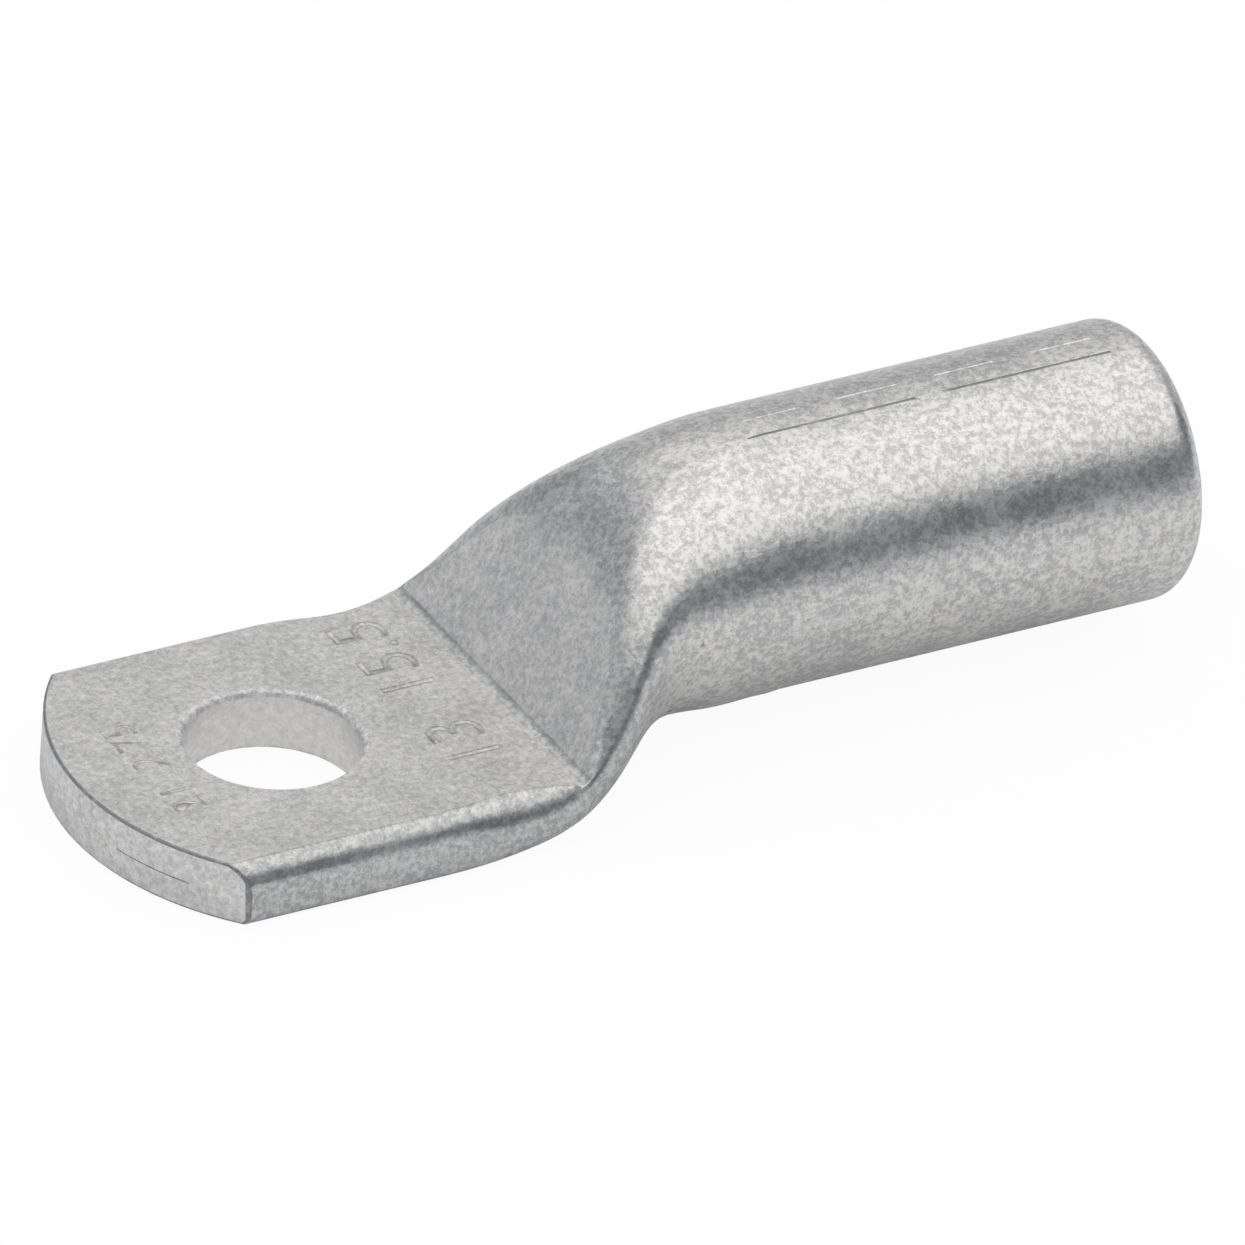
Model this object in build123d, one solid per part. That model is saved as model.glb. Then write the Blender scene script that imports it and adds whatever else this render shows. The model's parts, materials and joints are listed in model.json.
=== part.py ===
from build123d import *
from math import ceil, radians, sqrt, tan
import os

# Compression lug for one heavy stranded copper cable. It is one length of tube: one end stays round and
# takes the cable, and the other is pressed flat between dies into a palm and punched for the terminal bolt.
# Millimetres. +Z up, +X from the bolt hole towards the cable. The origin is on the axis of the bolt hole,
# in the contact face under the palm.

# Tube
tube_outside = 21.0
tube_wall = 2.75
mouth_round = 2.0            # turned edge round the outside of the mouth
mouth_chamfer = 0.4          # lead-in for the strands

# Lengths along X, each one from the axis of the bolt hole
hole_to_mouth = 71.8
hole_to_barrel = 38.5        # the tube is round and straight from here to the mouth
hole_to_crease = 18.2
hole_to_tip = 16.0

# Palm
palm_thickness = 4.83
palm_width = 30.2
bolt_hole = 13.0
hole_edge = 0.3              # drawn-in upper rim, where the punch went in
tip_radius = 21.6
tip_corner_round = 1.0
near_edge_round = 2.5        # along the palm's upper edge on the -Y side, which the dies rounded more
far_edge_round = 1.8         # and on the +Y side
lower_edge_round = 1.05

# Ramp between palm and barrel
ramp_angle = 59.5
crease_round = 0.9           # nose of the upper die, pressed along the foot of the ramp
barrel_lift = 1.02           # the tube's underside lies this far above the contact face
press_depth = 0.25           # what the flat dies take off the rounded blank, above and below

# Bore
wall_shift = 1.5             # how far the bore's slopes lie behind the skin's, so that no wall gets thin
slit_height = 0.3            # the bore ends in the ramp, where the walls meet

# Blank
section_spacing = 2.0        # between the sections that its ramp is drawn through
tip_trim = 2.0               # its length beyond the tip, which is sheared off

# Worked out from the sizes above
tube_radius = tube_outside / 2
bore_radius = tube_radius - tube_wall
tube_axis = barrel_lift + tube_radius
ramp_length = hole_to_barrel - hole_to_crease
blank_top = palm_thickness + press_depth
blank_bottom = -press_depth
rise = tube_outside + barrel_lift - blank_top
lift = barrel_lift - blank_bottom
narrowing = (palm_width - tube_outside) / 2

# The blank's form along the ramp. The first number is the place, as a share of the way from the crease to
# the straight barrel. Then come the shares of the top's rise, of the narrowing of the sides and of the
# underside's lift, and how round the upper and lower corners are, as a share of half the height.
ramp_form = (
    (-0.25, 0.000, 0.03, 0.05, 1.10, 0.65),
    (-0.09, 0.020, 0.04, 0.20, 0.95, 1.00),
    (0.03, 0.074, 0.11, 0.44, 0.66, 1.24),
    (0.12, 0.238, 0.24, 0.69, 0.87, 1.10),
    (0.22, 0.440, 0.43, 0.77, 0.85, 1.12),
    (0.34, 0.650, 0.75, 0.98, 0.83, 1.12),
    (0.50, 0.828, 1.00, 1.15, 0.87, 1.12),
    (0.70, 0.934, 1.00, 1.00, 0.96, 1.03),
    (1.00, 1.000, 1.00, 1.00, 0.995, 0.995),
)


def across(x):
    """The plane square to the tube at x, with its own x along +Y and its own y along +Z."""
    return Plane(origin=(x, 0, 0), x_dir=(0, 1, 0), z_dir=(1, 0, 0))


def flattened(x, half_width, bottom, top, near_round, far_round, lower_round):
    """A flattened section of the tube: four straight runs joined by four quarter circles."""
    corners = [
        CenterArc((half_width - far_round, top - far_round), far_round, 0, 90),
        CenterArc((near_round - half_width, top - near_round), near_round, 90, 90),
        CenterArc((lower_round - half_width, bottom + lower_round), lower_round, 180, 90),
        CenterArc((half_width - lower_round, bottom + lower_round), lower_round, 270, 90),
    ]
    edges = []
    for corner, following in zip(corners, corners[1:] + corners[:1]):
        edges.append(corner)
        edges.append(Line(corner @ 1, following @ 0))
    return across(x) * make_face(edges)


def round_section(x, radius):
    """The round section, cut into the same eight runs, so that each meets its own run of a flattened one."""
    narrow = 4
    wide = 90 - narrow
    edges = []
    for quarter in range(4):
        start = quarter * 90 + narrow / 2
        edges.append(CenterArc((0, tube_axis), radius, start, wide))
        edges.append(CenterArc((0, tube_axis), radius, start + wide, narrow))
    return across(x) * make_face(edges)


def eased(places, values, place):
    """The value at a place between the given ones, on a curve that is level at both ends and bends without a jump."""
    if place <= places[0]:
        return values[0]
    if place >= places[-1]:
        return values[-1]
    slopes = [0.0] * len(places)
    for _ in range(40):
        for i in range(1, len(places) - 1):
            before = places[i] - places[i - 1]
            after = places[i + 1] - places[i]
            climb = 3 * (values[i] - values[i - 1]) / before ** 2 + 3 * (values[i + 1] - values[i]) / after ** 2
            slopes[i] = (climb - slopes[i - 1] / before - slopes[i + 1] / after) / (2 / before + 2 / after)
    i = max(n for n, p in enumerate(places) if p <= place)
    gap = places[i + 1] - places[i]
    s = (place - places[i]) / gap
    start = values[i] * (1 + 2 * s) * (1 - s) ** 2 + slopes[i] * gap * s * (1 - s) ** 2
    end = values[i + 1] * s * s * (3 - 2 * s) - slopes[i + 1] * gap * s * s * (1 - s)
    return start + end


def blank_stations():
    """Place, half width, bottom, top and the three corner roundings of the blank, from the palm to the barrel."""
    flat = (palm_width / 2, blank_bottom, blank_top, near_edge_round, far_edge_round, lower_edge_round)
    stations = [(bolt_hole / 2, *flat)]
    for place, risen, narrowed, lifted, upper_share, lower_share in ramp_form:
        half_width = palm_width / 2 - narrowed * narrowing
        bottom = blank_bottom + lifted * lift
        top = blank_top + risen * rise
        half = (top - bottom) / 2
        x = hole_to_crease + place * ramp_length
        upper_round = upper_share * half
        stations.append((x, half_width, bottom, top, upper_round, upper_round, lower_share * half))
    return stations


def blank_at(x):
    """Half width, bottom, top and corner roundings of the blank at any place."""
    columns = list(zip(*blank_stations()))
    return [eased(columns[0], column, x) for column in columns[1:]]


def evenly(start, end):
    """Places from start up to end, spaced about section_spacing apart, without end itself."""
    count = ceil((end - start) / section_spacing)
    return [start + (end - start) * n / count for n in range(count)]


def blank():
    """The squeezed tube before the dies flatten it, from beyond the tip to the straight barrel."""
    start = bolt_hole / 2
    palm = extrude(flattened(start, *blank_at(start)), start + hole_to_tip + tip_trim, dir=(-1, 0, 0))
    sections = [flattened(x, *blank_at(x)) for x in evenly(start, hole_to_barrel)]
    sections.append(round_section(hole_to_barrel, tube_radius))
    return palm + loft(sections)


def barrel():
    """The straight tube, with the outer edge of its mouth turned round."""
    length = hole_to_mouth - hole_to_barrel
    tube = across(hole_to_barrel) * Pos(0, tube_axis) * Cylinder(
        tube_radius, length, align=(Align.CENTER, Align.CENTER, Align.MIN)
    )
    mouth = tube.edges().filter_by(GeomType.CIRCLE).sort_by(Axis.X)[-1]
    return fillet(mouth, mouth_round)


def upper_die():
    """What the upper die clears away: all above the palm, and all above the ramp's flat face."""
    reach = 2 * tube_outside
    foot = (hole_to_crease, palm_thickness)
    top = (hole_to_crease + reach / tan(radians(ramp_angle)), palm_thickness + reach)
    outline = Polyline(
        foot,
        top,
        (-2 * hole_to_tip, palm_thickness + reach),
        (-2 * hole_to_tip, palm_thickness),
        close=True,
    )
    profile = make_face(outline)
    nose = profile.vertices().sort_by_distance(foot)[0]
    profile = fillet(nose, crease_round)
    return extrude(Plane.XZ * profile, palm_width, both=True)


def lower_die():
    """The flat anvil under the palm."""
    reach = 2 * (hole_to_mouth + hole_to_tip)
    return Box(reach, 2 * palm_width, palm_thickness, align=(Align.CENTER, Align.CENTER, Align.MAX))


def bore_at(x):
    """Half width, floor and ceiling of the bore: the skin's own form, one wall further in and further along."""
    before = blank_at(x - wall_shift)
    after = blank_at(x + wall_shift)
    return after[0] - tube_wall, after[1] + tube_wall, before[2] - tube_wall


def bore():
    """The straight bore, and its flattened end in the ramp, which closes to a slit where the walls meet."""
    sections = []
    for x in evenly(hole_to_crease, hole_to_barrel):
        half_width, floor, ceiling = bore_at(x)
        height = ceiling - floor
        if height > slit_height:
            corner = 0.49 * height
            sections.append(flattened(x, half_width, floor, ceiling, corner, corner, corner))
    sections.append(round_section(hole_to_barrel, bore_radius))
    straight = across(hole_to_barrel) * Pos(0, tube_axis) * Cylinder(
        bore_radius, hole_to_mouth - hole_to_barrel, align=(Align.CENTER, Align.CENTER, Align.MIN)
    )
    return loft(sections) + straight


def tip_shear():
    """What the shear takes off the tip: all that lies outside a wide arc with slightly rounded corners."""
    clearance = 0.05
    half_width = palm_width / 2 + clearance
    centre = tip_radius - hole_to_tip
    corner_x = centre - sqrt(tip_radius ** 2 - half_width ** 2)
    kept = make_face(
        [
            ThreePointArc((corner_x, half_width), (-hole_to_tip, 0), (corner_x, -half_width)),
            Polyline((corner_x, -half_width), (centre, -half_width), (centre, half_width), (corner_x, half_width)),
        ]
    )
    corners = kept.vertices().sort_by(Axis.X)[:2]
    kept = fillet(corners, tip_corner_round)
    reach = hole_to_tip + 2 * tip_trim
    strip = Pos(centre, 0) * Rectangle(reach + centre, 4 * half_width, align=(Align.MAX, Align.CENTER))
    return extrude(strip - kept, 2 * palm_thickness, both=True)


def punch():
    """The punch for the terminal bolt."""
    return Cylinder(bolt_hole / 2, 4 * palm_thickness)


def eased_edges(lug):
    """The drawn-in rim of the bolt hole, and the lead-in inside the mouth."""
    circles = lug.edges().filter_by(GeomType.CIRCLE)
    hole_circles = circles.filter_by(lambda edge: abs(edge.radius - bolt_hole / 2) < 0.01)
    lug = chamfer(hole_circles.sort_by(Axis.Z)[-1], hole_edge)
    circles = lug.edges().filter_by(GeomType.CIRCLE)
    mouth = circles.filter_by(lambda edge: edge.arc_center.X > hole_to_mouth - 0.01)
    return chamfer(mouth.sort_by(SortBy.RADIUS)[0], mouth_chamfer)


def cable_lug():
    lug = blank() + barrel()
    lug -= upper_die()
    lug -= lower_die()
    lug -= bore()
    lug -= tip_shear()
    lug -= punch()
    return eased_edges(lug)


os.makedirs("parts", exist_ok=True)
export_step(cable_lug(), "parts/cable_lug.step")
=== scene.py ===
import json
import math

import bpy
from bpy.props import FloatProperty, FloatVectorProperty, IntProperty, PointerProperty
from mathutils import Matrix, Vector
from mathutils.kdtree import KDTree


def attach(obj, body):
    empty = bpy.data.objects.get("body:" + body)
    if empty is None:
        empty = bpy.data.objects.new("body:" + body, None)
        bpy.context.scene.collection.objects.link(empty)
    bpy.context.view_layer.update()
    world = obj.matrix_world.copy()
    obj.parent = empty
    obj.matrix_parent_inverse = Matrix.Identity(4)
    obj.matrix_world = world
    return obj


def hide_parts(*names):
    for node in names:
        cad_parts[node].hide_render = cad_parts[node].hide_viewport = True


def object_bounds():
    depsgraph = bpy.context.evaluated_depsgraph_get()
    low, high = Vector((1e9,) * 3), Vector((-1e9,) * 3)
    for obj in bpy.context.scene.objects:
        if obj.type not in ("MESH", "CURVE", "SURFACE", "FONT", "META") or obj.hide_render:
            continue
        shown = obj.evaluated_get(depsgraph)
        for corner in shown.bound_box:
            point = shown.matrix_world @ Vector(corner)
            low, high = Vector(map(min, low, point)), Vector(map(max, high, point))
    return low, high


bl_info = {
    "name": "Compression cable lug",
    "version": (1, 0, 0),
    "blender": (4, 5, 0),
    "location": "3D View > Sidebar > Cable lug",
    "description": "Dresses the packed lug with its sheared edges, marks and tin plating, and lights it",
    "category": "Object",
}

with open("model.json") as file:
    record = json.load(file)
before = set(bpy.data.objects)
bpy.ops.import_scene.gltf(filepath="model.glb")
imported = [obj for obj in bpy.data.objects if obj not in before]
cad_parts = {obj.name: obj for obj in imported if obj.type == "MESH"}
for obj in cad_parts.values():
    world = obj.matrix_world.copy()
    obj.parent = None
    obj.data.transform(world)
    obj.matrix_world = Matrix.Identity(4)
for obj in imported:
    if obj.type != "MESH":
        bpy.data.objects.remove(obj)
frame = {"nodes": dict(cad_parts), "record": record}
cad_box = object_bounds()

MM = 0.001
NODE = "cable_lug"
MOUNTS = {mount["name"]: mount for mount in frame["record"]["mounts"]}

# The lug's own places, in metres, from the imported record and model
HOLE_RADIUS = MOUNTS["bolt_hole"]["dims"]["r_mm"] * MM
BORE_RADIUS = MOUNTS["barrel_bore"]["dims"]["r_mm"] * MM
TUBE_AXIS = MOUNTS["barrel_bore"]["pos_m"][2]
PALM_TOP = MOUNTS["palm_top"]["pos_m"][2]
TIP_X = cad_box[0][0]
TUBE_RADIUS = cad_box[1][2] - TUBE_AXIS
TIP_CORNER_X = 0.55 * TIP_X     # the palm's sides end here, and the corners of its tip begin
RIM_WIDTH = 0.0006              # the bolt hole's rim, with its worn edges, is narrower than this

# How close two points are that count as one, and a level face and the height that it lies at
SAME_PLACE = 0.000003
SAME_HEIGHT = 0.00001

# The upward part of a face's normal, at least, where the face is level, and at most, where it stands upright
LEVEL = 0.9999
UPRIGHT = 0.1

# Where the crimp marks start along the top of the barrel, from the axis of the bolt hole
LONG_MARKS = (0.0375, 0.0538)
FIRST_SHORT_MARK = 0.0381
SHORT_MARK_SPACING = 0.00808
SHORT_MARK_COUNT = 4

# The hairline in the tip: where it starts and how far it runs, past the near corner, in degrees round the
# centre of the tip's arc, from the middle towards the near side. Its height is a share of the palm's.
SEAM_START = 31.5
SEAM_SWEEP = 18
SEAM_HEIGHT = 0.46 * PALM_TOP

# The bends of the die's line, from the palm's far side to the ramp's near corner: how far each one lies
# behind the foot of the ramp, to the side of the middle, and above the palm
DIE_LINE_BENDS = (
    (0.00040, 0.0136, 0.00013),
    (0.00036, -0.0090, 0.00011),
    (0.00064, -0.0112, 0.00032),
    (0.00098, -0.0124, 0.00084),
    (0.00150, -0.0130, 0.00175),
)

# The middles of the two lines of stamped figures, one by the ramp and one by the tip
FIGURES_BY_RAMP = (0.0148, 0.0015)
FIGURES_BY_TIP = (-0.0085, 0.0)

# The finishes, by their places in the lug's list of materials
DRAWN, PRESSED, SHEARED, PUNCHED, STAMPED, PAINTED_DARK, TORN = range(7)

# The floor lies just under the lug, and the card that only reflections show lies between them
TABLE_CARD_HEIGHT = -0.0001
FLOOR_HEIGHT = -0.0002

# The walls that the metal reflects, glowing cards that only reflections show, which paint light and dark
# bands into
# the metal as painted reflections: name, first and last azimuth, lowest and highest elevation, distance in
# metres and grey. The angles are in degrees, seen from the lug, with azimuth from +X towards +Y.
WALLS = (
    ("Dark card", -90, 5, -2, 34, 1.5, "#626A70"),
    ("Right card", 5, 60, -2, 45, 1.5, "#BFC0C2"),
    ("Back card", 60, 95, -2, 47, 1.5, "#C8C9CA"),
    ("Grey card", 95, 140, -2, 48, 1.5, "#BABCBF"),
    ("Left card", 140, 185, -2, 44, 1.5, "#BEBFC1"),
    ("Front card", 185, 270, -2, 51, 1.5, "#858A8E"),
    ("Low card", 40, 100, -2, 22, 1.35, "#AEB0B3"),
    ("Small dark card", 85, 135, 9, 32, 1.3, "#8E9297"),
)


def linear(code):
    """An sRGB hex colour as the linear numbers that a shader takes."""
    channels = [int(code[i:i + 2], 16) / 255 for i in (1, 3, 5)]
    return tuple(c / 12.92 if c <= 0.04045 else ((c + 0.055) / 1.055) ** 2.4 for c in channels)


# Sizes and colours that a user would change

class LugSizes(bpy.types.PropertyGroup):
    tip_radius: FloatProperty(
        name="Tip radius", description="Radius of the sheared arc of the tip", default=0.0216, unit="LENGTH"
    )
    edge_width: FloatProperty(
        name="Edge width", description="How far the sheared edges are worn back", default=0.0002,
        unit="LENGTH"
    )
    mark_width: FloatProperty(
        name="Mark width", description="Width of a crimp mark's groove", default=0.00024, unit="LENGTH"
    )
    mark_depth: FloatProperty(
        name="Mark depth", description="Depth of a crimp mark's groove", default=0.00008, unit="LENGTH"
    )
    long_marks_y: FloatProperty(
        name="Long marks", description="Distance of the long marks from the top line", default=-0.0012,
        unit="LENGTH"
    )
    short_marks_y: FloatProperty(
        name="Short marks", description="Distance of the short marks from the top line", default=0.0010,
        unit="LENGTH"
    )
    long_mark: FloatProperty(
        name="Long mark", description="Length of each of the two long marks", default=0.0140, unit="LENGTH"
    )
    short_mark: FloatProperty(
        name="Short mark", description="Length of each of the four short marks", default=0.0050,
        unit="LENGTH"
    )
    figure_height: FloatProperty(
        name="Figure height", description="Height of the stamped figures", default=0.0045, unit="LENGTH"
    )
    stamp_depth: FloatProperty(
        name="Stamp depth", description="Depth of a stroke, as a share of the figure's height", default=0.03
    )
    stamp_slope: FloatProperty(
        name="Stamp slope", description="Width of a stroke's slopes, as a share of the figure's height",
        default=0.036
    )
    seam_width: FloatProperty(
        name="Seam width", description="Width of the hairline in the tip, where the walls meet",
        default=0.00005, unit="LENGTH"
    )
    die_line: FloatProperty(
        name="Die line", description="Radius of the line that the die leaves at the foot of the ramp",
        default=0.00017, unit="LENGTH"
    )


class LugColours(bpy.types.PropertyGroup):
    tin: FloatVectorProperty(
        name="Tin", description="The plating in its bright grains", subtype="COLOR", size=3,
        min=0, max=1, default=linear("#FAF8F4")
    )
    dull_tin: FloatVectorProperty(
        name="Dull tin", description="The plating in its dull grains", subtype="COLOR", size=3,
        min=0, max=1, default=linear("#CBCAC9")
    )
    # The colour of the painted shade in grooves and of the painted dark reflection on the tip's worn edges
    # and corners
    painted_shade: FloatVectorProperty(
        name="Painted shade", description="The plating in grooves and torn edges", subtype="COLOR", size=3,
        min=0, max=1, default=linear("#A0A2A4")
    )


class StageSizes(bpy.types.PropertyGroup):
    azimuth: FloatProperty(
        name="Azimuth", description="Turn of the camera round the lug, from +Y towards +X",
        default=math.radians(30.9144), subtype="ANGLE"
    )
    elevation: FloatProperty(
        name="Elevation", description="Height of the camera above the horizon",
        default=math.radians(31.7222), subtype="ANGLE"
    )
    roll: FloatProperty(
        name="Roll", description="Turn of the picture about the line of sight",
        default=math.radians(3.9729), subtype="ANGLE"
    )
    distance: FloatProperty(
        name="Distance", description="From the camera to the palm", default=3.3333, unit="LENGTH"
    )
    picture_scale: FloatProperty(
        name="Picture scale", description="Pixels for each millimetre at the palm", default=13.8071
    )
    hole_column: FloatProperty(
        name="Hole column", description="Column of the bolt hole's centre in the picture", default=272.7597
    )
    hole_row: FloatProperty(
        name="Hole row", description="Row of the bolt hole's centre in the picture", default=739.0958
    )
    floor_size: FloatProperty(
        name="Floor size", description="Length and width of the floor", default=12.0, unit="LENGTH"
    )
    picture_size: IntProperty(
        name="Picture size", description="Width and height of the picture, in pixels", default=1245
    )


# Modelling with Blender's own tools

def deselect():
    """Leaves edit mode, with nothing selected."""
    if bpy.context.object and bpy.context.object.mode != "OBJECT":
        bpy.ops.object.mode_set(mode="OBJECT")
    bpy.ops.object.select_all(action="DESELECT")


def only(piece):
    """Makes the piece the only selected object, and the active one."""
    deselect()
    piece.select_set(True)
    bpy.context.view_layer.objects.active = piece


def settle(piece):
    """Writes the piece's place and turn into its mesh, so that the piece itself sits at the origin."""
    only(piece)
    bpy.ops.object.transform_apply(location=True, rotation=True, scale=True)


def apply(piece, modifier):
    """Applies the modifier to the piece's mesh."""
    only(piece)
    bpy.ops.object.modifier_apply(modifier=modifier.name)


def edit_faces(piece, test):
    """Leaves the piece in edit mode, with only the faces selected that pass the test."""
    only(piece)
    bpy.ops.object.mode_set(mode="EDIT")
    bpy.ops.mesh.select_mode(type="FACE")
    bpy.ops.mesh.select_all(action="DESELECT")
    bpy.ops.object.mode_set(mode="OBJECT")
    for face in piece.data.polygons:
        face.select = test(face)
    bpy.ops.object.mode_set(mode="EDIT")


def edit_sharp_edges(piece, angle, test):
    """Leaves the piece in edit mode, with only the edges selected that are sharp and pass the test.

    An edge is sharp from the given angle on, in degrees, and the test is made on its middle.
    """
    only(piece)
    bpy.ops.object.mode_set(mode="EDIT")
    bpy.ops.mesh.select_mode(type="EDGE")
    bpy.ops.mesh.select_all(action="DESELECT")
    bpy.ops.mesh.edges_select_sharp(sharpness=math.radians(angle))
    bpy.ops.object.mode_set(mode="OBJECT")
    points = piece.data.vertices
    for edge in piece.data.edges:
        edge.select = edge.select and test((points[edge.vertices[0]].co + points[edge.vertices[1]].co) / 2)
    bpy.ops.object.mode_set(mode="EDIT")


def cut(piece, tool, finish):
    """Takes the tool's shape out of the piece and removes the tool. The cut faces get the finish."""
    tool.data.materials.append(finish)
    modifier = piece.modifiers.new("cut", "BOOLEAN")
    modifier.operation = "DIFFERENCE"
    modifier.solver = "EXACT"
    modifier.material_mode = "TRANSFER"
    modifier.object = tool
    apply(piece, modifier)
    bpy.data.objects.remove(tool)


def merged_copy(node, name):
    """A copy of a CAD node with its loose triangles merged into one closed mesh."""
    deselect()
    mesh = frame["nodes"][node].data.copy()
    piece = bpy.data.objects.new(name, mesh)
    bpy.context.scene.collection.objects.link(piece)
    mesh.name = name
    mesh.materials.clear()
    only(piece)
    bpy.ops.object.mode_set(mode="EDIT")
    bpy.ops.mesh.select_all(action="SELECT")
    bpy.ops.mesh.remove_doubles(threshold=0.000002)
    bpy.ops.object.mode_set(mode="OBJECT")
    return piece


def smooth(piece):
    """Smooth shading that keeps sharp edges sharp and flat faces flat."""
    only(piece)
    bpy.ops.object.shade_smooth_by_angle(angle=math.radians(32))
    weighted = piece.modifiers.new("flat faces stay flat", "WEIGHTED_NORMAL")
    weighted.keep_sharp = True
    apply(piece, weighted)


def keep_shading(piece, uncut):
    """Gives the surface round the cuts the shading that it has on the uncut piece."""
    corners = KDTree(len(uncut.data.vertices))
    for vertex in uncut.data.vertices:
        corners.insert(vertex.co, vertex.index)
    corners.balance()
    kept = []
    rims = []
    for vertex in piece.data.vertices:
        # The palm's top is flat, so the rims of the cuts in it need no other shading
        if corners.find(vertex.co)[2] < SAME_PLACE:
            kept.append(vertex.index)
        elif abs(vertex.co.z - PALM_TOP) > SAME_PLACE:
            surface = uncut.closest_point_on_mesh(vertex.co)[1]
            if (surface - vertex.co).length < SAME_PLACE:
                rims.append(vertex.index)
    for name, indices, mapping in (("kept", kept, "NEAREST_POLYNOR"), ("rims", rims, "POLYINTERP_NEAREST")):
        piece.vertex_groups.new(name=name).add(indices, 1.0, "REPLACE")
        transfer = piece.modifiers.new(name, "DATA_TRANSFER")
        transfer.object = uncut
        transfer.use_loop_data = True
        transfer.data_types_loops = {"CUSTOM_NORMAL"}
        transfer.loop_mapping = mapping
        transfer.vertex_group = name
        apply(piece, transfer)
    piece.vertex_groups.clear()


# Nodes

def add(tree, kind, settings=None, links=None):
    """Adds a node, sets its properties and unlinked sockets, and links its other inputs."""
    node = tree.nodes.new(kind)
    for name, value in (settings or {}).items():
        if isinstance(name, str) and hasattr(node, name):
            setattr(node, name, value)
        else:
            node.inputs[name].default_value = value
    for name, source in (links or {}).items():
        tree.links.new(source, node.inputs[name])
    return node


def seen(tree):
    """1 for rays from the camera or through a mirror or glass, 0 for the rays that light things."""
    path = add(tree, "ShaderNodeLightPath")
    first = add(
        tree, "ShaderNodeMath", {"operation": "MAXIMUM"},
        {0: path.outputs["Is Camera Ray"], 1: path.outputs["Is Glossy Ray"]},
    )
    both = add(
        tree, "ShaderNodeMath", {"operation": "MAXIMUM"},
        {0: first.outputs[0], 1: path.outputs["Is Transmission Ray"]},
    )
    return both.outputs[0]


def empty_material(name):
    """A material whose nodes are still to be added."""
    material = bpy.data.materials.new(name)
    material.use_nodes = True
    material.node_tree.nodes.clear()
    return material


def sheened(colour, sheen):
    """The colour, brighter by the sheen, but never so bright that it gives back more light than it gets."""
    return (*[min(1.0, sheen * channel) for channel in colour], 1)


def plating(name, colours, sheen=1.0, grain_softness=0.12, roughness=0.34, shaded_by_palm=False):
    """Tin, plated over copper that was worked cold: pale metal, mottled by the grain of the copper below.

    The sheen is how bright the finish is beside that of the drawn tube: partly its own tone, and partly
    painted highlight and shade for how the light falls on its faces. The softer the grain, the wider the
    range of its noise that turns the tin from dull to bright. Shaded by the palm, the finish is painted
    darker towards the palm, as painted shade.
    """
    material = empty_material(name)
    tree = material.node_tree
    coordinates = add(tree, "ShaderNodeTexCoord").outputs["Object"]
    # The copper's grain and pits, drawn coarser than they are so that they show, and the blotches they form
    grain_size = 0.0006
    pit_size = 0.0004
    pit_depth = 0.00003
    blotch_size = 0.004
    blotch_share = 0.2
    tone_middle = 0.6
    roughness_spread = 0.06
    grain = add(
        tree, "ShaderNodeTexNoise", {"Scale": 1 / grain_size, "Detail": 3.0, "Roughness": 0.85},
        {"Vector": coordinates},
    )
    pits = add(
        tree, "ShaderNodeTexNoise", {"Scale": 1 / pit_size, "Detail": 3.0, "Roughness": 0.7},
        {"Vector": coordinates},
    )
    blotches = add(
        tree, "ShaderNodeTexNoise", {"Scale": 1 / blotch_size, "Detail": 3.0}, {"Vector": coordinates}
    )
    tone = add(
        tree, "ShaderNodeMath", {"operation": "MULTIPLY_ADD", 1: blotch_share},
        {0: blotches.outputs[0], 2: grain.outputs[0]},
    )
    bright = add(
        tree, "ShaderNodeMapRange",
        {"From Min": tone_middle - grain_softness, "From Max": tone_middle + grain_softness},
        {"Value": tone.outputs[0]},
    )
    mottled = add(
        tree, "ShaderNodeMix",
        {"data_type": "RGBA", 6: sheened(colours.dull_tin, sheen), 7: sheened(colours.tin, sheen)},
        {0: bright.outputs[0]},
    )
    colour = mottled.outputs[2]
    if shaded_by_palm:
        # Painted shade: along X, the finish is darker up to the first place and like the barrel's from the
        # second one on
        shaded_until = 0.021
        unshaded_from = 0.027
        light_kept = (0.84, 0.85, 0.86, 1)
        place = add(tree, "ShaderNodeSeparateXYZ", {}, {0: coordinates})
        palm_shade = add(
            tree, "ShaderNodeMapRange", {"From Min": unshaded_from, "From Max": shaded_until},
            {"Value": place.outputs["X"]},
        )
        palm_shaded = add(
            tree, "ShaderNodeMix", {"data_type": "RGBA", "blend_type": "MULTIPLY", 7: light_kept},
            {0: palm_shade.outputs[0], 6: colour},
        )
        colour = palm_shaded.outputs[2]
    patchy_roughness = add(
        tree, "ShaderNodeMapRange",
        {
            "From Min": 0.3, "From Max": 0.7,
            "To Min": roughness - roughness_spread, "To Max": roughness + roughness_spread,
        },
        {"Value": blotches.outputs[0]},
    )
    bump = add(
        tree, "ShaderNodeBump", {"Strength": 0.8, "Distance": pit_depth}, {"Height": pits.outputs[0]}
    )
    shader = add(
        tree, "ShaderNodeBsdfPrincipled", {"Metallic": 1.0},
        {"Base Color": colour, "Roughness": patchy_roughness.outputs[0], "Normal": bump.outputs[0]},
    )
    add(tree, "ShaderNodeOutputMaterial", {}, {"Surface": shader.outputs[0]})
    return material


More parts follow.
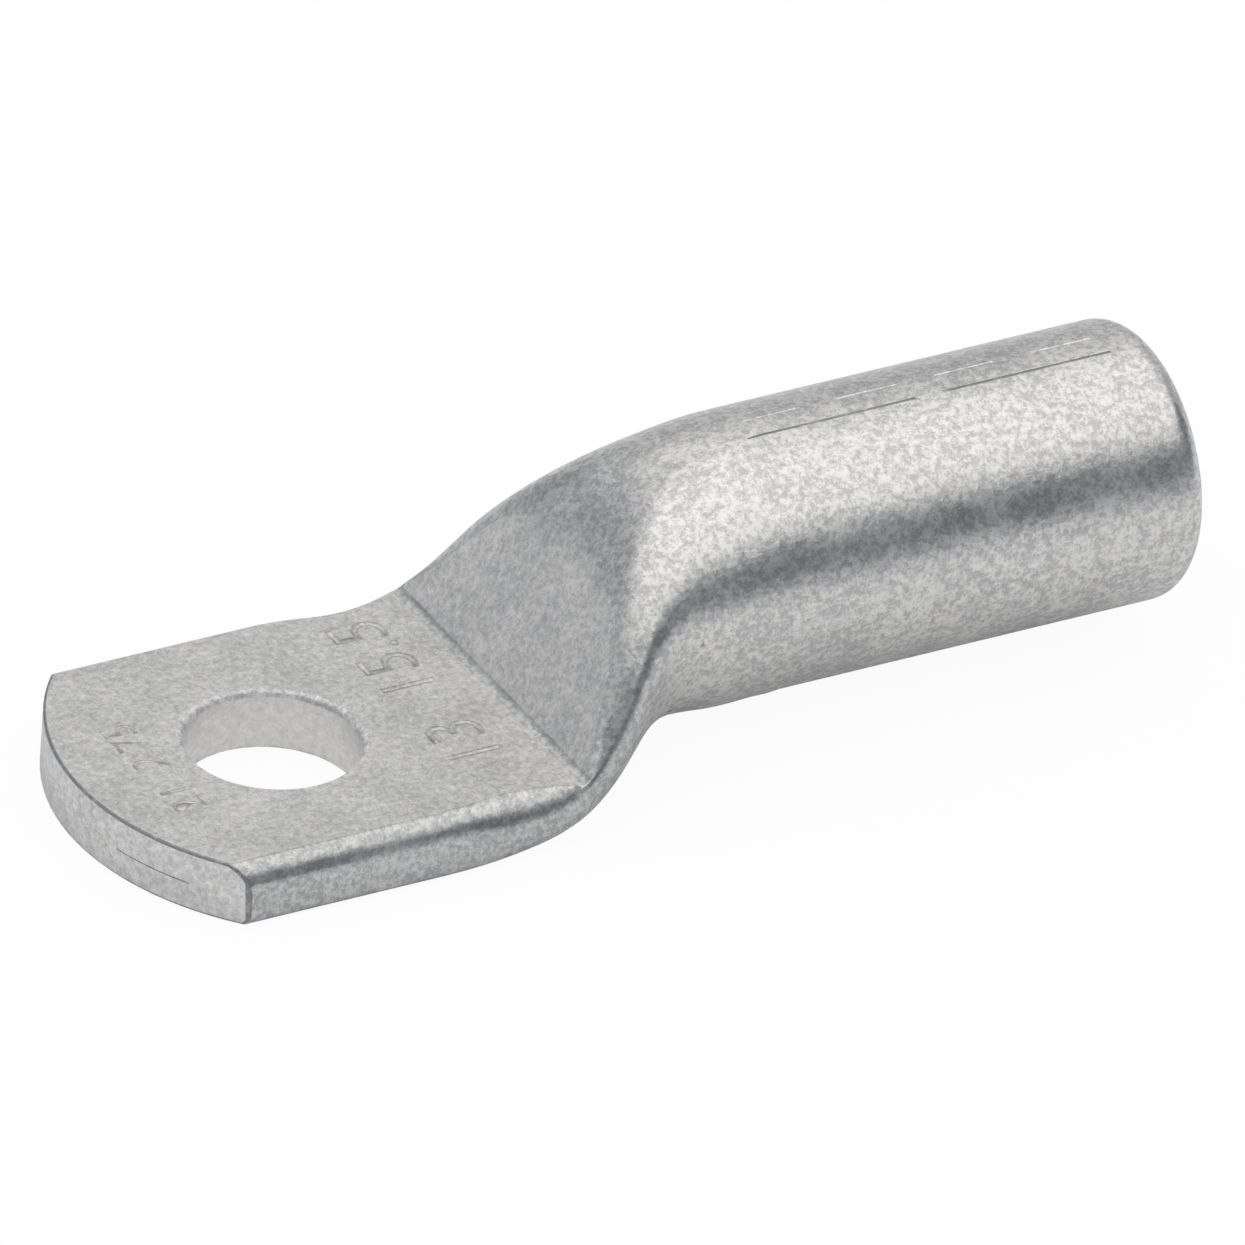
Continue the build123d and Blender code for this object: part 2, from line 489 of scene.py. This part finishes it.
def painted_dark_tin(colours):
    """Painted shade in grooves and painted dark reflection on the tip's worn edges and corners: darker tin,
    broken up by noise into the plating's dull grey.
    """
    material = empty_material("Tin with painted shade in grooves and on worn edges")
    tree = material.node_tree
    coordinates = add(tree, "ShaderNodeTexCoord").outputs["Object"]
    break_size = 0.0009
    broken_up_to = 0.52
    whole_from = 0.66
    breaks = add(
        tree, "ShaderNodeTexNoise", {"Scale": 1 / break_size, "Detail": 3.0, "Roughness": 0.7},
        {"Vector": coordinates},
    )
    whole = add(
        tree, "ShaderNodeMapRange", {"From Min": broken_up_to, "From Max": whole_from},
        {"Value": breaks.outputs[0]},
    )
    colour = add(
        tree, "ShaderNodeMix", {"data_type": "RGBA", 6: (*colours.painted_shade, 1), 7: (*colours.dull_tin, 1)},
        {0: whole.outputs[0]},
    )
    shader = add(
        tree, "ShaderNodeBsdfPrincipled", {"Metallic": 1.0, "Roughness": 0.5},
        {"Base Color": colour.outputs[2]},
    )
    add(tree, "ShaderNodeOutputMaterial", {}, {"Surface": shader.outputs[0]})
    return material


def tin_finishes(colours):
    """One finish for each way that a face of the lug was made, in the order of their numbers."""
    return (
        # The drawing die left the tube even, with a crisp grain; towards the palm it carries painted shade
        plating("Tin plating over drawn copper tube", colours, grain_softness=0.1, shaded_by_palm=True),
        # Smooth dies ironed the palm and the ramp, with a softer grain; their slightly brighter tin is a
        # painted highlight
        plating("Tin plating over die-pressed copper", colours, sheen=1.03, grain_softness=0.15),
        # The shear's blade burnished the end of the tip; its brighter tin is a painted highlight
        plating("Tin plating over sheared copper", colours, sheen=1.06, grain_softness=0.16),
        # The punch wiped the wall of the hole almost clear of grain
        plating("Tin plating over punched copper", colours, sheen=0.95, grain_softness=0.3),
        # Painted shade: the stamp's strokes are darker than the palm, which is what makes the faint figures
        # readable
        plating("Tin plating over stamped copper, with painted shade", colours, sheen=0.78, grain_softness=0.15),
        # Painted shade in the grooves, and painted dark reflection on the tip's worn edges and corners
        painted_dark_tin(colours),
        # The torn rim of the hole is rough, so it scatters light; its brighter tin is a painted highlight
        # that keeps it pale from all sides
        plating("Tin plating over copper torn by the punch", colours, sheen=1.1, roughness=0.7),
    )


# The lug

def crimp_mark(lug, x_from, x_to, y, width, depth, finish):
    """Presses one crimp mark into the top of the barrel, with a thin rod that lies along it."""
    # A rod of this radius leaves a groove of that width when it sinks in by that depth
    rod_radius = (width * width / 4 + depth * depth) / (2 * depth)
    skin = TUBE_AXIS + math.sqrt(TUBE_RADIUS ** 2 - y * y)
    deselect()
    bpy.ops.mesh.primitive_cylinder_add(
        vertices=16, radius=rod_radius, depth=x_to - x_from,
        location=((x_from + x_to) / 2, y, skin + rod_radius - depth), rotation=(0, math.pi / 2, 0)
    )
    cut(lug, bpy.context.object, finish)


def stamped_figures(lug, figures, middle, height, sizes, finish):
    """Stamps plain figures into the top of the palm. They read from the near side to the far one."""
    slope = sizes.stamp_slope * height
    depth = sizes.stamp_depth * height
    # A figure's height is this share of the size that its font is set to
    height_in_font = 0.7
    deselect()
    bpy.ops.object.text_add(rotation=(0, 0, math.pi / 2))
    text = bpy.context.object
    text.data.body = figures
    text.data.size = height / height_in_font
    text.data.align_x = "CENTER"
    text.data.resolution_u = 3
    # At the palm's top a stroke is as wide as the font has it, and from there it slopes in to its bottom
    text.data.offset = -slope
    text.data.extrude = slope
    text.data.bevel_depth = slope
    text.data.bevel_resolution = 0
    only(text)
    bpy.ops.object.convert(target="MESH")
    stamp = bpy.context.object
    bpy.ops.transform.resize(value=(1, 1, depth / slope))
    bpy.ops.transform.translate(value=(*middle, PALM_TOP + depth))
    bpy.ops.object.transform_apply(location=True, rotation=True, scale=True)
    bpy.ops.object.mode_set(mode="EDIT")
    bpy.ops.mesh.select_all(action="SELECT")
    bpy.ops.mesh.remove_doubles(threshold=0.000001)
    bpy.ops.mesh.normals_make_consistent(inside=False)
    bpy.ops.object.mode_set(mode="OBJECT")
    cut(lug, stamp, finish)


def wire_end(radius, vertices, turn, place):
    """The first ring of a wire that sets out along Y, turned about Z, left in edit mode and all selected."""
    deselect()
    bpy.ops.mesh.primitive_circle_add(
        vertices=vertices, radius=radius, rotation=(math.pi / 2, 0, turn), location=place
    )
    wire = bpy.context.object
    settle(wire)
    bpy.ops.object.mode_set(mode="EDIT")
    bpy.ops.mesh.select_all(action="SELECT")
    return wire


def closed_wire(wire):
    """Closes the ends of a bent wire and turns its faces outwards."""
    bpy.ops.mesh.select_all(action="SELECT")
    bpy.ops.mesh.fill_holes(sides=0)
    bpy.ops.mesh.select_all(action="SELECT")
    bpy.ops.mesh.normals_make_consistent(inside=False)
    bpy.ops.object.mode_set(mode="OBJECT")
    return wire


def tip_seam(lug, sizes, finish):
    """Cuts the hairline in the tip, where the two walls of the flattened tube meet."""
    centre = Vector((TIP_X + sizes.tip_radius, 0, 0))
    start = math.radians(180 + SEAM_START)
    reach = Vector((sizes.tip_radius * math.cos(start), sizes.tip_radius * math.sin(start), SEAM_HEIGHT))
    wire = wire_end(sizes.seam_width, 8, start, centre + reach)
    bpy.ops.mesh.spin(steps=24, angle=math.radians(SEAM_SWEEP), center=centre, axis=(0, 0, 1))
    cut(lug, closed_wire(wire), finish)


def die_line(lug, sizes, finish):
    """Presses the thin line that the die leaves along the foot of the ramp and up its near corner."""
    foot = max(v.co.x for v in lug.data.vertices if abs(v.co.z - PALM_TOP) < SAME_PLACE)
    bends = [Vector((foot + behind, side, PALM_TOP + above)) for behind, side, above in DIE_LINE_BENDS]
    wire = wire_end(sizes.die_line, 10, 0, bends[0])
    for bend, following in zip(bends, bends[1:]):
        bpy.ops.mesh.extrude_region_move(TRANSFORM_OT_translate={"value": following - bend})
    cut(lug, closed_wire(wire), finish)


class LUG_OT_tinned_lug(bpy.types.Operator):
    """The lug: a length of tinned copper tube with worn edges, crimp marks and stamped figures"""

    bl_idname = "lug.tinned_lug"
    bl_label = "Tinned lug"

    def execute(self, context):
        sizes = context.scene.lug_sizes
        colours = context.scene.lug_colours
        lug = merged_copy(NODE, "tinned_lug")
        self.join_triangles(lug)
        self.wear_edges(lug, sizes)
        drawn, stamped, painted_shade = self.finish_faces(lug, sizes, colours)
        smooth(lug)
        uncut = lug.copy()
        uncut.data = lug.data.copy()
        context.scene.collection.objects.link(uncut)
        self.mark_barrel(lug, sizes, drawn, painted_shade)
        self.stamp_palm(lug, sizes, stamped)
        # The seam and the die line get painted shade in their grooves
        tip_seam(lug, sizes, painted_shade)
        die_line(lug, sizes, painted_shade)
        smooth(lug)
        keep_shading(lug, uncut)
        bpy.data.objects.remove(uncut)
        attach(lug, "root")
        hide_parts(NODE)
        return {"FINISHED"}

    def join_triangles(self, lug):
        """Joins what would show as a fault.

        That is close points in the tip's corners, splinters of the palm's top, which the stamps would cut
        up, and slivers folded over on the skin.
        """
        corner_x = 0.6 * TIP_X
        corner_y = 0.0125
        corner_gap = 0.00012
        edit_faces(lug, lambda face: face.center.x < corner_x and abs(face.center.y) > corner_y)
        bpy.ops.mesh.remove_doubles(threshold=corner_gap)
        edit_faces(lug, lambda face: face.normal.z > 0 and self.level_at(face, PALM_TOP))
        bpy.ops.mesh.dissolve_limited(angle_limit=math.radians(0.5))
        # The skin has no sharp edge of its own from here to there, down to a depth that leaves out the bore
        skin_from = 0.0235
        skin_to = 0.069
        skin_depth = 0.0021

        def on_skin(place):
            from_axis = math.hypot(place.y, place.z - TUBE_AXIS)
            return skin_from < place.x < skin_to and from_axis > TUBE_RADIUS - skin_depth

        # The first turn leaves a sliver or two, which the second one joins
        for _ in range(2):
            edit_sharp_edges(lug, 20, on_skin)
            bpy.ops.mesh.select_mode(type="FACE", use_expand=True)
            bpy.ops.mesh.dissolve_faces()
        bpy.ops.object.mode_set(mode="OBJECT")

    def wear_edges(self, lug, sizes):
        """Rounds over the edges that the shear and the punch left, round the tip and the bolt hole."""
        def worn(place):
            return place.x < TIP_CORNER_X or math.hypot(place.x, place.y) < HOLE_RADIUS + RIM_WIDTH

        edit_sharp_edges(lug, 35, worn)
        bpy.ops.mesh.bevel(offset=sizes.edge_width, segments=3, affect="EDGES", loop_slide=False)
        bpy.ops.mesh.select_mode(type="VERT")
        bpy.ops.object.mode_set(mode="OBJECT")

    def finish_faces(self, lug, sizes, colours):
        """Gives each face its finish, and returns the finishes that the cuts take."""
        finishes = tin_finishes(colours)
        for finish in finishes:
            lug.data.materials.append(finish)
        for face in lug.data.polygons:
            face.material_index = self.finish_of(face, sizes)
        return finishes[DRAWN], finishes[STAMPED], finishes[PAINTED_DARK]

    def level_at(self, face, height):
        """Whether the face is level and lies at the height."""
        return abs(face.normal.z) > LEVEL and abs(face.center.z - height) < SAME_HEIGHT

    def finish_of(self, face, sizes):
        """The finish of the way that the face was made, by its place and normal."""
        centre = face.center
        normal = face.normal
        upright = abs(normal.z) < UPRIGHT
        slopes_up = UPRIGHT < normal.z < LEVEL
        from_tip_centre = math.hypot(centre.x - TIP_X - sizes.tip_radius, centre.y)
        at_tip = centre.x < TIP_CORNER_X and from_tip_centre > sizes.tip_radius - 1.2 * sizes.edge_width
        at_corner = centre.x < TIP_CORNER_X and 0.72 < abs(normal.y) < 0.995
        worn_over = at_tip and 0.05 < abs(normal.z) < 0.995
        from_hole_axis = math.hypot(centre.x, centre.y)
        in_hole = from_hole_axis < HOLE_RADIUS + 0.0001 and upright
        on_rim = from_hole_axis < HOLE_RADIUS + RIM_WIDTH and slopes_up
        on_palm = self.level_at(face, 0) or self.level_at(face, PALM_TOP)
        on_ramp = normal.x < -0.8 and abs(normal.y) < 0.001
        # Painted dark reflection on the tip's worn edges and on its corners' sides
        if worn_over or (at_corner and upright):
            return PAINTED_DARK
        if in_hole:
            return PUNCHED
        if on_rim:
            return TORN
        if at_tip and upright:
            return SHEARED
        if on_palm or on_ramp:
            return PRESSED
        return DRAWN

    def mark_barrel(self, lug, sizes, drawn, painted_shade):
        """Presses in the marks that show where to crimp: two long ones, and four short, fainter ones."""
        # The long marks' grooves get painted shade; the short ones keep the tube's finish
        for start in LONG_MARKS:
            end = start + sizes.long_mark
            crimp_mark(lug, start, end, sizes.long_marks_y, sizes.mark_width, sizes.mark_depth, painted_shade)
        faint = 0.8 * sizes.mark_depth
        for n in range(SHORT_MARK_COUNT):
            start = FIRST_SHORT_MARK + n * SHORT_MARK_SPACING
            end = start + sizes.short_mark
            crimp_mark(lug, start, end, sizes.short_marks_y, sizes.mark_width, faint, drawn)

    def stamp_palm(self, lug, sizes, stamped):
        """Stamps the lug's own sizes into the palm: hole and bore by the ramp, tube and wall by the tip."""
        hole = 2 * HOLE_RADIUS / MM
        bore = 2 * BORE_RADIUS / MM
        # The tube's facets lie just inside its skin, so its width is rounded to a tenth of a millimetre
        tube = round(2 * TUBE_RADIUS / MM, 1)
        wall = (tube - bore) / 2
        large = sizes.figure_height
        small = 0.6 * sizes.figure_height
        stamped_figures(lug, f"{hole:g}  {bore:g}", FIGURES_BY_RAMP, large, sizes, stamped)
        stamped_figures(lug, f"{tube:g}  {wall:g}", FIGURES_BY_TIP, small, sizes, stamped)


# The stage

class LUG_OT_stage(bpy.types.Operator):
    """The stage: a plain white floor, a level studio sky, grey cards out of the picture, and the camera"""

    bl_idname = "lug.stage"
    bl_label = "Stage"

    def execute(self, context):
        stage = context.scene.lug_stage
        self.sky(context)
        self.floor(stage)
        self.cards()
        self.camera(context, stage)
        context.scene.view_settings.view_transform = "Standard"
        return {"FINISHED"}

    def sky(self, context):
        """White light from all sides, at the strength at which a colour renders as it is written."""
        world = bpy.data.worlds.new("Studio sky")
        world.use_nodes = True
        tree = world.node_tree
        tree.nodes.clear()
        white = add(tree, "ShaderNodeBackground", {"Color": (1, 1, 1, 1), "Strength": 1.0})
        add(tree, "ShaderNodeOutputWorld", {}, {"Surface": white.outputs[0]})
        context.scene.world = world

    def reflected_only(self, card, shader_of):
        """Gives a card its paper, and hides it from all but reflections."""
        material = empty_material(card.name)
        tree = material.node_tree
        add(tree, "ShaderNodeOutputMaterial", {}, {"Surface": shader_of(tree)})
        card.data.materials.append(material)
        card.visible_camera = False
        card.visible_diffuse = False
        card.visible_shadow = False
        card.visible_transmission = False

    def cards(self):
        """The glowing cards round and under the lug, seen only in reflections, which paint a studio's
        reflections into the metal.
        """
        for wall in WALLS:
            self.wall(*wall)
        self.table()

    def table(self):
        """The card that the lug stands on in reflections, as wide as the walls stand apart."""
        deselect()
        bpy.ops.mesh.primitive_plane_add(size=3, location=(0, 0, TABLE_CARD_HEIGHT))
        table = bpy.context.object
        table.name = "Table card"
        settle(table)

        def glowing_table_paper(tree):
            """Grey paper that glows a little, and more under the bolt hole: a painted reflection that
            brightens the hole's wall.
            """
            glow_under_hole = 0.5
            glow_elsewhere = 0.045
            coordinates = add(tree, "ShaderNodeTexCoord").outputs["Object"]
            distance = add(tree, "ShaderNodeVectorMath", {"operation": "LENGTH"}, {0: coordinates})
            share = add(
                tree, "ShaderNodeMapRange",
                {
                    "From Min": HOLE_RADIUS, "From Max": 1.3 * HOLE_RADIUS,
                    "To Min": glow_under_hole, "To Max": glow_elsewhere,
                },
                {"Value": distance.outputs["Value"]},
            )
            paper = add(tree, "ShaderNodeBsdfDiffuse", {"Color": (*linear("#D6D7D9"), 1)})
            glow = add(tree, "ShaderNodeEmission", {"Color": (1, 1, 1, 1), "Strength": 1.0})
            mixed = add(
                tree, "ShaderNodeMixShader", {},
                {0: share.outputs[0], 1: paper.outputs[0], 2: glow.outputs[0]},
            )
            return mixed.outputs[0]

        self.reflected_only(table, glowing_table_paper)

    def wall(self, name, start, end, low, high, radius, grey):
        """One upright card, bent round the table between two azimuths and two elevations, in degrees."""
        bottom = radius * math.tan(math.radians(low))
        top = radius * math.tan(math.radians(high))
        deselect()
        bpy.ops.mesh.primitive_cylinder_add(
            vertices=72, radius=radius, depth=top - bottom, location=(0, 0, (top + bottom) / 2),
            end_fill_type="NOTHING"
        )
        card = bpy.context.object
        card.name = name
        settle(card)

        def beyond(face):
            azimuth = math.degrees(math.atan2(face.center.y, face.center.x))
            return (azimuth - start) % 360 > end - start

        edit_faces(card, beyond)
        bpy.ops.mesh.delete(type="FACE")
        bpy.ops.mesh.select_mode(type="VERT")
        bpy.ops.object.mode_set(mode="OBJECT")

        def glowing_paper(tree):
            glow = add(tree, "ShaderNodeEmission", {"Color": (*linear(grey), 1), "Strength": 1.0})
            return glow.outputs[0]

        self.reflected_only(card, glowing_paper)

    def floor(self, stage):
        """A white paper floor that shows only a faint shadow of the lug."""
        deselect()
        bpy.ops.mesh.primitive_plane_add(size=stage.floor_size, location=(0, 0, FLOOR_HEIGHT))
        floor = bpy.context.object
        floor.name = "Floor"
        settle(floor)
        material = empty_material("White paper sweep")
        tree = material.node_tree
        unshaded_share = 0.94
        paper = add(tree, "ShaderNodeBsdfDiffuse", {"Color": (*linear("#F6F6F6"), 1)})
        white = add(tree, "ShaderNodeEmission", {"Color": (1, 1, 1, 1), "Strength": 1.0})
        share = add(tree, "ShaderNodeMath", {"operation": "MULTIPLY", 1: unshaded_share}, {0: seen(tree)})
        mixed = add(
            tree, "ShaderNodeMixShader", {}, {0: share.outputs[0], 1: paper.outputs[0], 2: white.outputs[0]}
        )
        add(tree, "ShaderNodeOutputMaterial", {}, {"Surface": mixed.outputs[0]})
        floor.data.materials.append(material)

    def camera(self, context, stage):
        """A long lens that looks down on the near side of the lug from the left, as the photo does."""
        turn = stage.azimuth
        tilt = stage.elevation
        right = Vector((math.cos(turn), -math.sin(turn), 0))
        sight = Vector((math.sin(turn) * math.cos(tilt), math.cos(turn) * math.cos(tilt), -math.sin(tilt)))
        up = right.cross(sight)
        across = math.cos(stage.roll) * right + math.sin(stage.roll) * up
        upward = math.cos(stage.roll) * up - math.sin(stage.roll) * right
        middle = stage.picture_size / 2
        scale = stage.picture_scale / MM
        hole = Vector((0, 0, PALM_TOP))
        place = hole - sight * stage.distance
        place -= across * (stage.hole_column - middle) / scale
        place += upward * (stage.hole_row - middle) / scale
        data = bpy.data.cameras.new("Camera")
        camera = bpy.data.objects.new("Camera", data)
        context.scene.collection.objects.link(camera)
        turned = Matrix((across, upward, -sight)).transposed().to_4x4()
        camera.matrix_world = Matrix.Translation(place) @ turned
        data.sensor_fit = "HORIZONTAL"
        data.sensor_width = 36.0
        data.lens = data.sensor_width * scale * stage.distance / stage.picture_size
        data.clip_end = 100.0
        data.dof.use_dof = False
        context.scene.camera = camera


class LUG_PT_panel(bpy.types.Panel):
    bl_idname = "LUG_PT_panel"
    bl_label = "Cable lug"
    bl_space_type = "VIEW_3D"
    bl_region_type = "UI"
    bl_category = "Cable lug"

    def draw(self, context):
        layout = self.layout
        for group in (context.scene.lug_sizes, context.scene.lug_colours, context.scene.lug_stage):
            box = layout.box()
            for name in group.__annotations__:
                box.prop(group, name)
        layout.operator("lug.tinned_lug")
        layout.operator("lug.stage")


CLASSES = (LugSizes, LugColours, StageSizes, LUG_OT_tinned_lug, LUG_OT_stage, LUG_PT_panel)


def register():
    for item in CLASSES:
        bpy.utils.register_class(item)
    bpy.types.Scene.lug_sizes = PointerProperty(type=LugSizes)
    bpy.types.Scene.lug_colours = PointerProperty(type=LugColours)
    bpy.types.Scene.lug_stage = PointerProperty(type=StageSizes)


def unregister():
    del bpy.types.Scene.lug_stage
    del bpy.types.Scene.lug_colours
    del bpy.types.Scene.lug_sizes
    for item in reversed(CLASSES):
        bpy.utils.unregister_class(item)


def main():
    register()
    bpy.ops.lug.tinned_lug()
    bpy.ops.lug.stage()


if __name__ == "__main__":
    main()
